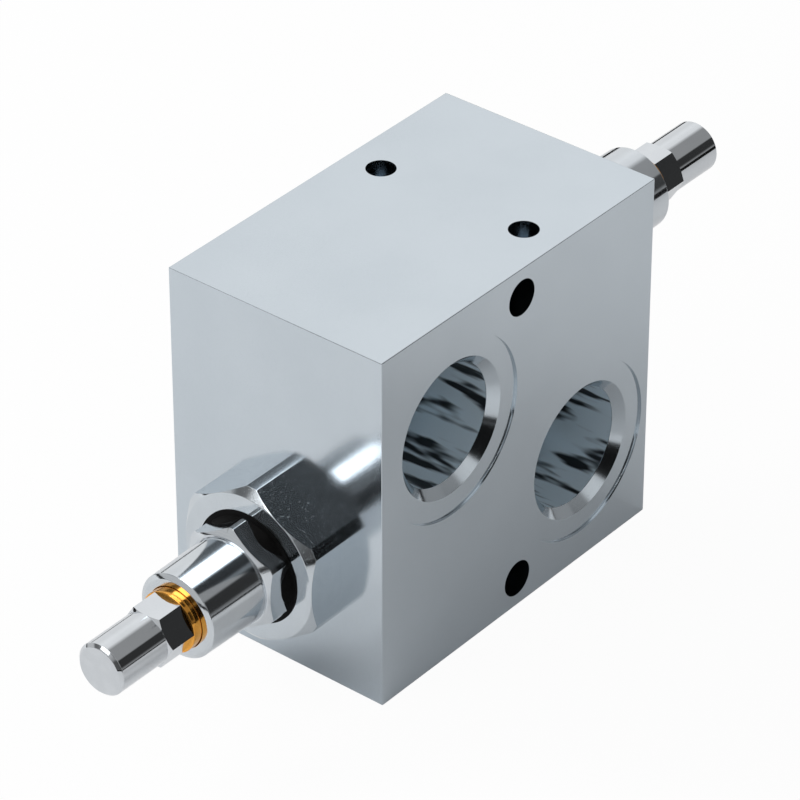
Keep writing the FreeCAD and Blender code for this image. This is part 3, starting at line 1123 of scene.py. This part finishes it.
    def cutters(self) -> list[bpy.types.Mesh]:
        """Make everything that is cut out of the block.

        Returns:
            The cutters, each in its place.
        """
        tools = []
        for way in (-1, 1):
            tools += [self.line_cutter(way), self.through_cutter(way)]
            tools += [self.top_cutter(way), self.drilling_cutter(way)]
        return tools + [self.cavity_cutter(side) for side in Side]

    def body(self) -> bpy.types.Mesh:
        """Make the block with all its openings.

        Returns:
            The block's mesh.
        """
        shape = bmesh.new()
        bmesh.ops.create_cube(shape, size=1.0)
        bmesh.ops.scale(shape, vec=[value * MM for value in self.size], verts=shape.verts)
        bmesh.ops.bevel(
            shape,
            geom=list(shape.edges),
            offset=self.edge * MM,
            segments=2,
            profile=0.5,
            affect="EDGES",
        )
        cut = combined(finished(shape, "block"), self.cutters(), "DIFFERENCE")
        return shaded(cut, self.sharp)

    def one_plug(self, way: int) -> bpy.types.Mesh:
        """Make the socket plug of a cross drilling.

        Args:
            way: -1 for the left drilling and 1 for the right one.

        Returns:
            The plug's mesh in its place.
        """
        low = self.plug[0][0]
        flats, depth = self.socket
        mouth_depth, past = self.socket_mouth
        inner = flats / 2 + past
        outline = (
            (low - CUT_PAST, 0),
            (low - CUT_PAST, inner + CUT_PAST + mouth_depth),
            (low + mouth_depth, inner),
            (low + mouth_depth, 0),
        )
        blank = lathe(eased(self.plug, self.plug_ease, steps=2), segments=FEW_STEPS)
        socket = prism(HEXAGON, flats, low - CUT_PAST, low + depth)
        mouth = lathe(outline, segments=FEW_STEPS)
        plug = shaded(combined(blank, [socket, mouth], "DIFFERENCE"))
        plug.transform(Matrix.Translation((way * self.line[0] * MM, 0, 0)))
        return plug

    def pieces(self) -> list[Piece]:
        """Make the block and its plugs.

        Returns:
            The pieces.
        """
        made = [Piece("Valve_block", self.body(), "valve", "valve_block", Slot.BLOCK)]
        for side, way in ((Side.LEFT, -1), (Side.RIGHT, 1)):
            node = f"{side.value}_cross_drilling_plug"
            made.append(Piece(node.capitalize(), self.one_plug(way), "valve", node, Slot.PLUG))
        return made


# The cartridges


def cartridge_place(side: Side) -> Matrix:
    """Work out where a cartridge stands.

    Args:
        side: The cartridge's side.

    Returns:
        The matrix from its own Z axis to its place in the block.
    """
    block = BlockLooks()
    stand = Matrix.Translation((-block.size[0] / 2 * MM, 0, -block.line[1] * MM))
    left = stand @ Matrix.Rotation(-math.pi / 2, 4, "Y")
    return left if side is Side.LEFT else Matrix.Rotation(math.pi, 4, "Y") @ left


# How far a hexagon's prism reaches past both ends of the blank it trims, in millimetres
HEXAGON_PAST = 10.0
# Angle in degrees past which an edge of the coil stays sharp
COIL_SHARP = 40.0


def hexed(
    blank: bpy.types.Mesh, outline: Outline, flats: float, turn: float = 0.0
) -> bpy.types.Mesh:
    """Trim a turned blank to a hexagon.

    Args:
        blank: The turned mesh.
        outline: The outline it was turned from.
        flats: Distance across flats in millimetres.
        turn: Angle of the first corner in degrees.

    Returns:
        The trimmed mesh.
    """
    heights = [height for height, _ in outline]
    low, high = min(heights) - HEXAGON_PAST, max(heights) + HEXAGON_PAST
    return combined(blank, [prism(HEXAGON, flats, low, high, turn)], "INTERSECT")


def ring_mesh(outline: Outline, ease: float, segments: int = SOME_STEPS) -> bpy.types.Mesh:
    """Turn a closed outline into a ring with rounded corners.

    Args:
        outline: The outline's corners.
        ease: Largest distance a rounding takes from each side of a corner.
        segments: Steps round the axis.

    Returns:
        The ring's mesh.
    """
    loop = list(outline)
    start = tuple((a + b) / 2 for a, b in zip(loop[0], loop[-1]))
    rounded = eased([start, *loop, start], ease)
    return lathe(rounded[:-1], closed=True, segments=segments)


@dataclass(frozen=True)
class Spring:
    """The main spring, sizes in millimetres.

    Args:
        mean: Mean radius of the coil.
        wire: Radius of the wire.
        low: Height of the end on the poppet.
        high: Height of the end on the guide.
        turns: Number of turns.
        grind: How much of the wire is ground off at each end.
        steps: Steps per turn.
        sides: Sides of the wire.
    """

    mean: float = 4.6
    wire: float = 1.1
    low: float = -22.4
    high: float = -6.6
    turns: float = 4.5
    grind: float = 0.8
    steps: int = 64
    sides: int = 20


@dataclass
class CartridgeLooks:
    """The pieces of one relief cartridge that scene.py draws, sizes in millimetres.

    Args:
        side: The cartridge's side.
        coil: Makes the spring.
        paints: The part's finishes.
        ease: Size of the roundings at the corners of most outlines.
        body: Closed outline of the cartridge body.
        body_flats: Distance across the body's flats.
        body_ease: Size of the roundings at the body's corners.
        body_edge: Width of the roundings along the body's flats.
        nut: Closed outline of the lock nut with its collar.
        nut_flats: Distance across the nut's flats.
        nut_edge: Width of the roundings along the nut's flats.
        screw_shank: Outline of the screw inside the collar.
        shank_ease: Size of the roundings at the shank's corners.
        screw_neck: Outline of the blank of the screw's hexagon, as wide as its corners.
        neck_flats: Distance across the neck's flats.
        neck_turn: Angle of the neck's first corner in degrees.
        neck_edge: Width of the roundings along the neck's flats.
        screw_stub: Outline of the round stub.
        ring: Closed outline of the ring at the collar's mouth.
        ring_ease: Size of the roundings at the ring's corners.
        seal: Closed outline of the seal under the nut.
        poppet_travel: How far the poppet lifts.
        guide_travel: How far the spring guide comes in.
        spring: The main spring.
    """

    side: Side
    coil: CoilMaker
    paints: Paints
    ease: float = 0.1
    body: Outline = (
        (9.3, 7.0),
        (9.3, 17.0),
        (7.7, 18.9),
        (0.0, 18.9),
        (0.0, 12.0),
        (-2.9, 12.0),
        (-2.9, 13.45),
        (-15.5, 13.45),
        (-15.5, 11.3),
        (-20.0, 11.3),
        (-20.0, 9.0),
        (-15.0, 9.0),
        (-15.0, 7.5),
        (2.0, 7.5),
        (2.0, 7.0),
    )
    body_flats: float = 34.0
    body_ease: float = 0.12
    body_edge: float = 0.18
    nut: Outline = (
        (11.8, 7.0),
        (11.8, 11.0),
        (9.6, 12.0),
        (9.6, 12.4),
        (14.316, 12.4),
        (15.5, 10.35),
        (15.5, 10.0),
        (31.1, 9.75),
        (31.7, 8.6),
        (31.7, 7.2),
        (31.6, 7.1),
        (17.5, 7.1),
        (17.5, 7.0),
    )
    nut_flats: float = 22.0
    nut_edge: float = 0.12
    screw_shank: Outline = (
        (-0.6, 0.0),
        (-0.6, 5.95),
        (0.4, 6.95),
        (27.0, 6.95),
        (27.0, 5.2),
        (34.0, 5.2),
        (34.0, 0.0),
    )
    shank_ease: float = 0.15
    screw_neck: Outline = (
        (34.0, 0.0),
        (34.0, 6.928),
        (40.4, 6.928),
        (40.9, 6.0),
        (40.9, 0.0),
    )
    neck_flats: float = 12.0
    neck_turn: float = 30.0
    neck_edge: float = 0.1
    screw_stub: Outline = (
        (40.4, 0.0),
        (40.4, 6.0),
        (54.0, 6.0),
        (54.7, 5.3),
        (54.7, 0.0),
    )
    ring: Outline = (
        (27.6, 5.22),
        (27.6, 7.0),
        (33.98, 7.0),
        (33.98, 5.22),
    )
    ring_ease: float = 0.2
    seal: Outline = (
        (9.3, 7.5),
        (9.3, 13.1),
        (9.58, 13.1),
        (9.58, 11.98),
        (11.78, 10.98),
        (11.78, 7.5),
    )
    poppet_travel: float = 1.5
    guide_travel: float = 3.0
    spring: Spring = Spring()

    def body_mesh(self) -> bpy.types.Mesh:
        """Return the hexagon-headed cartridge body."""
        blank = ring_mesh(self.body, self.body_ease, MANY_STEPS)
        return shaded(softened(hexed(blank, self.body, self.body_flats), self.body_edge))

    def nut_mesh(self) -> bpy.types.Mesh:
        """Return the lock nut with its collar."""
        blank = ring_mesh(self.nut, self.ease, MANY_STEPS)
        return shaded(softened(hexed(blank, self.nut, self.nut_flats), self.nut_edge))

    def screw_mesh(self) -> bpy.types.Mesh:
        """Make the adjusting screw: threaded shank, hexagon neck and stub.

        Returns:
            The screw's mesh.
        """
        shank = lathe(eased(self.screw_shank, self.shank_ease), segments=SHANK_STEPS)
        blank = lathe(self.screw_neck, segments=MANY_STEPS)
        trimmed = hexed(blank, self.screw_neck, self.neck_flats, self.neck_turn)
        neck = softened(trimmed, self.neck_edge)
        stub = lathe(eased(self.screw_stub, self.ease), segments=SOME_STEPS)
        return shaded(merged([shank, neck, stub]))

    def spring_mesh(self, low: float, high: float) -> bpy.types.Mesh:
        """Make a stretch of the main spring.

        Args:
            low: Height at which it starts, in millimetres.
            high: Height at which it ends.

        Returns:
            The stretch's mesh, its cut ends closed.
        """
        size = self.spring
        coil = self.coil.make(
            self.paints.of(Slot.SPRING_STEEL),
            Radius=size.mean * MM,
            Height=(size.high - size.low + 2 * size.grind - 2 * size.wire) * MM,
            Turns=size.turns,
            Steps_per_turn=size.steps,
            Section_sides=size.sides,
            Section_radius=size.wire * MM,
        )
        coil.transform(Matrix.Translation((0, 0, (size.low + size.wire - size.grind) * MM)))
        shape = bmesh.new()
        shape.from_mesh(coil)
        for height, way in ((low, -1), (high, 1)):
            cut = bmesh.ops.bisect_plane(
                shape,
                geom=[*shape.verts, *shape.edges, *shape.faces],
                plane_co=(0, 0, height * MM),
                plane_no=(0, 0, way),
                clear_outer=True,
            )
            edges = [item for item in cut["geom_cut"] if isinstance(item, bmesh.types.BMEdge)]
            bmesh.ops.holes_fill(shape, edges=edges)
        bmesh.ops.recalc_face_normals(shape, faces=shape.faces)
        shape.to_mesh(coil)
        shape.free()
        return shaded(coil, COIL_SHARP)

    def spring_pieces(self) -> list[Piece]:
        """Make the main spring's two halves, each noting the joint and travel at its own end.

        Returns:
            The pieces.
        """
        name = self.side.value
        low, high = self.spring.low, self.spring.high
        middle = (low + high) / 2
        place = cartridge_place(self.side)
        anchor = place @ Vector((0, 0, middle * MM))
        halves = (
            ("nose", low, middle, f"{name}_poppet_lift", self.poppet_travel),
            ("guide", middle, high, f"{name}_adjustment", self.guide_travel),
        )
        made = []
        for end, start, stop, joint, travel in halves:
            mesh = self.spring_mesh(start, stop)
            mesh.transform(place)
            node = f"{name}_main_spring"
            give = (joint, anchor, 1.0 - travel / (stop - start))
            title = f"{node}_{end}_half".capitalize()
            made.append(Piece(title, mesh, "valve", node, Slot.SPRING_STEEL, give))
        return made

    def pieces(self) -> list[Piece]:
        """Make this cartridge's pieces, each in its place.

        Returns:
            The pieces.
        """
        name = self.side.value
        seal = shaded(ring_mesh(self.seal, self.ease))
        ring = shaded(ring_mesh(self.ring, self.ring_ease))
        parts = (
            ("cartridge_body", self.body_mesh(), "valve", Slot.CARTRIDGE),
            ("lock_nut", self.nut_mesh(), f"{name}_nut", Slot.NUT),
            ("lock_nut_seal", seal, f"{name}_nut_seal", Slot.RUBBER),
            ("adjusting_screw", self.screw_mesh(), f"{name}_screw", Slot.SCREW),
            ("screw_guide_ring", ring, f"{name}_screw", Slot.ORANGE),
        )
        made = self.spring_pieces()
        for part, mesh, body, slot in parts:
            mesh.transform(cartridge_place(self.side))
            node = f"{name}_{part}"
            made.append(Piece(node.capitalize(), mesh, body, node, slot))
        return made


# The studio


FLOOR_ROUGHNESS = 0.9
WHITE = (1.0, 1.0, 1.0)


@dataclass(frozen=True)
class Lamp:
    """A square lamp that shines at the valve.

    Args:
        name: The lamp's name.
        place: Where it hangs, in metres.
        size: The length of its sides in metres.
        power: Its power in watts.
        mirrored: Whether bright metal shows it.
    """

    name: str
    place: tuple[float, float, float]
    size: float
    power: float
    mirrored: bool = True

    def hang(self) -> None:
        """Put the lamp in the scene."""
        data = bpy.data.lights.new(self.name, "AREA")
        data.size = self.size
        data.energy = self.power
        made = bpy.data.objects.new(self.name, data)
        made.location = self.place
        made.visible_glossy = self.mirrored
        made.rotation_mode = "QUATERNION"
        made.rotation_quaternion = (-Vector(self.place)).to_track_quat("-Z", "Y")
        bpy.context.scene.collection.objects.link(made)


@dataclass
class Studio:
    """Floor, sky, lamps and camera, in metres and degrees.

    Args:
        floor_z: Height of the floor.
        floor_size: How far the floor reaches each way.
        floor_colours: The two colours the floor is mottled with.
        floor_mottle: Size of that mottling.
        floor_white: How much of the floor that the camera sees is plain white.
        floor_glow: How brightly metal mirrors the floor near the valve.
        floor_reach: How far out the floor is near the valve, and where that stops.
        far_glow: How brightly metal mirrors the floor beyond.
        camera_place: Where the camera stands.
        azimuth: The camera's turn about the valve.
        elevation: The camera's height over the valve.
        focal_share: Focal length as a share of the picture's width.
        clip: Nearest and furthest distance that the camera sees.
        diffuse_level: How brightly the sky lights matte surfaces.
        pole_level: Brightness of the sky straight out to the left.
        pole_edge: Where along X that sky starts and is whole.
        left_end: Brightness round the X axis, in the sky's leftmost band.
        left_walls: The same in the band that surfaces facing left mirror.
        left_walls_edge: Where along X that band starts and is whole.
        middle_walls: The same in the band that slanted surfaces mirror.
        middle_walls_edge: Where that band starts and is whole.
        right_walls: The same in the band that the flats and tubes along X mirror.
        right_walls_edge: Where that band starts and is whole.
        right_end: The same in the sky's rightmost band.
        right_end_edge: Where that band starts and is whole.
        lamps: The lamps.
    """

    floor_z: float = -0.0426
    floor_size: float = 3.0
    floor_colours: tuple[Colour, Colour] = ((0.86, 0.86, 0.865), (0.9, 0.9, 0.9))
    floor_mottle: float = 0.5
    floor_white: float = 0.96
    floor_glow: float = 0.06
    floor_reach: tuple[float, float] = (0.4, 0.42)
    far_glow: float = 0.008
    camera_place: tuple[float, float, float] = (-0.63495, -0.51402, 0.55411)
    azimuth: float = -50.788
    elevation: float = 34.234
    focal_share: float = 4676.1 / 800.0
    clip: tuple[float, float] = (0.05, 20.0)
    diffuse_level: float = 0.33
    pole_level: float = 0.6
    pole_edge: tuple[float, float] = (-0.85, -0.97)
    left_end: Outline = (
        (-180, 0.3),
        (-150, 0.6),
        (90, 0.6),
        (130, 0.3),
        (140, 0.1),
        (180, 0.1),
    )
    left_walls: Outline = (
        (-180, 0.3),
        (-150, 0.6),
        (22, 0.6),
        (29, 0.16),
        (42, 0.18),
        (52, 0.32),
        (57, 0.9),
        (97, 0.9),
        (101, 0.04),
        (124, 0.04),
        (129, 0.3),
        (134, 0.3),
        (140, 0.03),
        (150, 0.006),
        (180, 0.006),
    )
    left_walls_edge: tuple[float, float] = (-0.7, -0.66)
    middle_walls: Outline = (
        (-180, 0.3),
        (-150, 0.8),
        (30, 0.8),
        (50, 0.95),
        (110, 0.8),
        (133, 0.5),
        (144, 0.75),
        (160, 0.5),
        (180, 0.3),
    )
    middle_walls_edge: tuple[float, float] = (-0.16, -0.08)
    right_walls: Outline = (
        (-180, 0.3),
        (-150, 0.88),
        (30, 0.88),
        (50, 1.0),
        (76, 0.9),
        (90, 0.33),
        (140, 0.33),
        (144, 0.035),
        (171, 0.035),
        (180, 0.3),
    )
    right_walls_edge: tuple[float, float] = (0.3, 0.45)
    right_end: Outline = (
        (-180, 0.3),
        (-150, 0.88),
        (30, 0.88),
        (50, 1.0),
        (76, 0.9),
        (90, 0.6),
        (133, 0.33),
        (180, 0.3),
    )
    right_end_edge: tuple[float, float] = (0.72, 0.77)
    lamps: tuple[Lamp, ...] = (
        Lamp("Back lamp", (-0.12, 0.85, 0.7), 0.5, 7.0, mirrored=False),
        Lamp("Left lamp", (-0.64, 0.17, 0.75), 0.55, 2.6),
    )

    def panels(self, graph: Graph, way: Value) -> Value:
        """Return how bright the surroundings are in a direction, 1 being white.

        Args:
            graph: The world's nodes.
            way: The direction looked in.

        Returns:
            Pale walls and dark flags that run along X, with gaps at the ends and in the middle.
        """
        parts = graph.node("ShaderNodeSeparateXYZ", None, {0: way})
        x = graph.out(parts, "X")
        turn = graph.math("ARCTAN2", graph.out(parts, "Z"), graph.out(parts, "Y"))
        share = turn / (2.0 * math.pi) + 0.5
        level = graph.ramp(share, self.left_end)
        for walls, edge in (
            (self.left_walls, self.left_walls_edge),
            (self.middle_walls, self.middle_walls_edge),
            (self.right_walls, self.right_walls_edge),
            (self.right_end, self.right_end_edge),
        ):
            beyond = x.step(*edge)
            level = level * (1.0 - beyond) + graph.ramp(share, walls) * beyond
        pole = x.step(*self.pole_edge)
        return level * (1.0 - pole) + self.pole_level * pole

    def sky(self) -> None:
        """Build the world: white for the camera, pale with dark flags for the metal."""
        world = bpy.data.worlds.new("Studio")
        world.use_nodes = True
        bpy.context.scene.world = world
        graph = Graph(world.node_tree)
        way = graph.out(graph.node("ShaderNodeTexCoord"), "Generated")
        seen, mirrored = graph.rays()
        soft = self.diffuse_level * (1.0 - seen) * (1.0 - mirrored)
        strength = seen + mirrored * self.panels(graph, way) + soft
        shader = graph.node(
            "ShaderNodeBackground", None, {"Color": rgba(WHITE), "Strength": strength}
        )
        graph.node("ShaderNodeOutputWorld", None, {"Surface": graph.out(shader, "Background")})

    def floor_finish(self) -> bpy.types.Material:
        """Build the floor's material: white for the camera, dim for the metal.

        Returns:
            The material.
        """
        material = bpy.data.materials.new("Pale floor")
        material.use_nodes = True
        graph = Graph(material.node_tree)
        first, second = self.floor_colours
        tone = graph.mix(graph.noise(self.floor_mottle), rgba(first), rgba(second))
        paint = {"Base Color": tone, "Roughness": FLOOR_ROUGHNESS}
        matte = graph.node("ShaderNodeBsdfPrincipled", None, paint)
        white = graph.node("ShaderNodeEmission", None, {"Strength": 1.0})
        dark = graph.node("ShaderNodeEmission", None, {"Strength": self.far_glow})
        seen, mirrored = graph.rays()
        share = (self.floor_white * seen + self.floor_glow * mirrored).clamped()
        near = graph.blend(share, graph.out(matte, "BSDF"), graph.out(white, "Emission"))
        reach = graph.node("ShaderNodeVectorMath", {"operation": "LENGTH"}, {0: graph.place()})
        far = graph.out(reach, "Value").step(*self.floor_reach)
        both = graph.blend(far * mirrored, near, graph.out(dark, "Emission"))
        graph.node("ShaderNodeOutputMaterial", None, {"Surface": both})
        return material

    def floor(self) -> None:
        """Build the pale floor that keeps the valve's shadow."""
        shape = bmesh.new()
        bmesh.ops.create_grid(shape, x_segments=1, y_segments=1, size=self.floor_size)
        mesh = finished(shape, "Floor")
        mesh.materials.append(self.floor_finish())
        floor = bpy.data.objects.new("Floor", mesh)
        floor.location.z = self.floor_z
        bpy.context.scene.collection.objects.link(floor)

    def camera(self) -> None:
        """Set up the camera at the photo's angle."""
        azimuth, elevation = math.radians(self.azimuth), math.radians(self.elevation)
        back = Vector(
            (
                math.sin(azimuth) * math.cos(elevation),
                -math.cos(azimuth) * math.cos(elevation),
                math.sin(elevation),
            )
        )
        data = bpy.data.cameras.new("Camera")
        data.lens = data.sensor_width * self.focal_share
        data.clip_start, data.clip_end = self.clip
        made = bpy.data.objects.new("Camera", data)
        made.location = self.camera_place
        made.rotation_mode = "QUATERNION"
        made.rotation_quaternion = back.to_track_quat("Z", "Y")
        bpy.context.scene.collection.objects.link(made)
        bpy.context.scene.camera = made

    def build(self) -> None:
        """Build the whole studio."""
        self.sky()
        self.floor()
        for lamp in self.lamps:
            lamp.hang()
        self.camera()
        bpy.context.scene.view_settings.view_transform = "Standard"


def repaint(frame: dict[str, Any], paints: Paints) -> int:
    """Give every solid its finish.

    Args:
        paints: The finishes.

    Returns:
        The number of solids painted.
    """
    slots = {entry["node"]: Slot(entry["material_slot"]) for entry in frame["record"]["subparts"]}
    for node, solid in frame["nodes"].items():
        material = paints.of(slots[node])
        for holder in solid.material_slots:
            holder.material = material
    return len(slots)


def main() -> None:
    """Build the scene."""
    logging.basicConfig(level=logging.INFO, format="%(message)s")
    for item in list(bpy.data.objects):
        bpy.data.objects.remove(item)
    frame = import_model()
    paints = Paints()
    LOG.info("painted %d solids", repaint(frame, paints))
    coil = CoilMaker()
    assemblies = [BlockLooks(), *(CartridgeLooks(side, coil, paints) for side in Side)]
    for assembly in assemblies:
        for piece in assembly.pieces():
            made = piece.place(paints)
            LOG.info("%s: %d faces", made.name, len(made.data.polygons))
    Studio().build()


if __name__ == "__main__":
    main()
